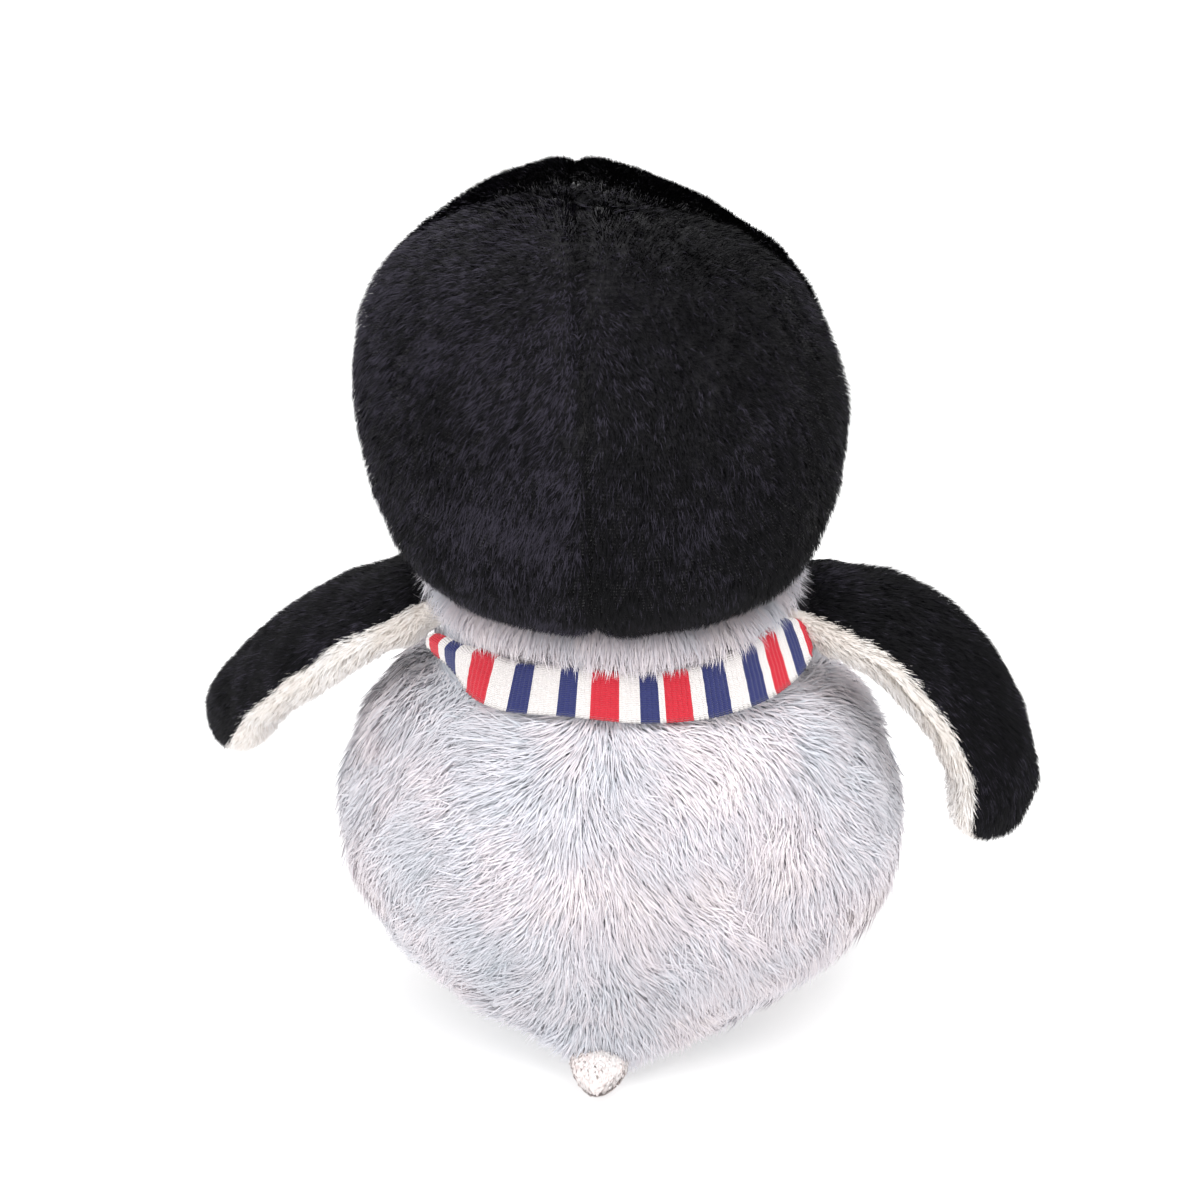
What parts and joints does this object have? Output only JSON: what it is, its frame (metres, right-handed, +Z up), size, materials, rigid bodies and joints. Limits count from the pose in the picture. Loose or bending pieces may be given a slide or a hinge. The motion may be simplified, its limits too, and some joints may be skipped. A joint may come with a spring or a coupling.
{
  "type": "plush penguin",
  "caption": "Sitting plush penguin with a long-pile grey body, a short-pile black head, jointed flippers and feet, and a striped knitted scarf.",
  "frame": {"origin": "centre of the flat base that the penguin sits on", "axes": "+Z up, the penguin faces -Y, its own left flipper is on +X"},
  "size_m": [0.2489, 0.1708, 0.271],
  "materials": {
    "black_plush": "matte",
    "grey_plush": "matte",
    "cream_plush": "matte",
    "orange_plush": "matte",
    "striped_knit": "matte",
    "fibre_filling": "matte",
    "pellet_cloth": "matte",
    "eye_plastic": "gloss",
    "washer_plastic": "satin"
  },
  "bodies": {
    "torso": {"base_panel": "cream_plush", "belly_panel": "cream_plush", "back_panel_left": "grey_plush", "back_panel_right": "grey_plush", "body_filling": "fibre_filling", "pellet_bag": "pellet_cloth", "scarf_band": "striped_knit", "scarf_knot": "striped_knit"},
    "neck": {"neck_filling": "fibre_filling", "neck_ruff": "grey_plush"},
    "head": {"head_filling": "fibre_filling", "head_back_left": "black_plush", "head_back_right": "black_plush", "head_front_left": "black_plush", "head_front_right": "black_plush", "face_panel": "cream_plush", "eye_left": "eye_plastic", "eye_right": "eye_plastic", "eye_washer_left": "washer_plastic", "eye_washer_right": "washer_plastic", "beak_upper": "orange_plush", "beak_lower": "orange_plush", "beak_filling": "fibre_filling"},
    "left_flipper": {"left_flipper_outer": "black_plush", "left_flipper_inner": "cream_plush", "left_flipper_filling": "fibre_filling"},
    "right_flipper": {"right_flipper_outer": "black_plush", "right_flipper_inner": "cream_plush", "right_flipper_filling": "fibre_filling"},
    "left_foot": {"left_foot_upper": "orange_plush", "left_foot_sole": "orange_plush", "left_foot_filling": "fibre_filling"},
    "right_foot": {"right_foot_upper": "orange_plush", "right_foot_sole": "orange_plush", "right_foot_filling": "fibre_filling"},
    "tail": {"tail_upper": "grey_plush", "tail_under": "cream_plush", "tail_filling": "fibre_filling"},
    "left_scarf_end": {"scarf_end_left": "striped_knit"},
    "right_scarf_end": {"scarf_end_right": "striped_knit"}
  },
  "joints": [
    {"name": "head_turn", "type": "hinge", "parent": "torso", "child": "neck", "pos_m": [0.003, 0, 0.146], "axis": [0, 0, 1], "range_deg": [-25, 25], "stiffness_Nm_per_rad": 0.6},
    {"name": "head_nod", "type": "hinge", "parent": "neck", "child": "head", "pos_m": [0.003, 0, 0.146], "axis": [1, 0, 0], "range_deg": [-7, 7], "stiffness_Nm_per_rad": 2},
    {"name": "left_flipper_flap", "type": "hinge", "parent": "torso", "child": "left_flipper", "pos_m": [0.048, 0, 0.1365], "axis": [0, -1, 0], "range_deg": [-3, 45], "stiffness_Nm_per_rad": 0.06},
    {"name": "right_flipper_flap", "type": "hinge", "parent": "torso", "child": "right_flipper", "pos_m": [-0.048, 0, 0.1365], "axis": [0, 1, 0], "range_deg": [-8, 45], "stiffness_Nm_per_rad": 0.06},
    {"name": "left_foot_flex", "type": "hinge", "parent": "torso", "child": "left_foot", "pos_m": [0.031, -0.044, 0.0075], "axis": [-1, 0, 0], "range_deg": [0, 18], "stiffness_Nm_per_rad": 0.05},
    {"name": "right_foot_flex", "type": "hinge", "parent": "torso", "child": "right_foot", "pos_m": [-0.031, -0.044, 0.0075], "axis": [-1, 0, 0], "range_deg": [0, 18], "stiffness_Nm_per_rad": 0.05},
    {"name": "tail_flex", "type": "hinge", "parent": "torso", "child": "tail", "pos_m": [-0.003, 0.056, 0.013], "axis": [1, 0, 0], "range_deg": [0, 12], "stiffness_Nm_per_rad": 0.03},
    {"name": "left_scarf_end_lift", "type": "hinge", "parent": "torso", "child": "left_scarf_end", "pos_m": [0.017, -0.0695, 0.0985], "axis": [-1, 0, 0], "range_deg": [0, 60]},
    {"name": "right_scarf_end_lift", "type": "hinge", "parent": "torso", "child": "right_scarf_end", "pos_m": [-0.017, -0.0695, 0.0985], "axis": [-1, 0, 0], "range_deg": [0, 60]}
  ]
}
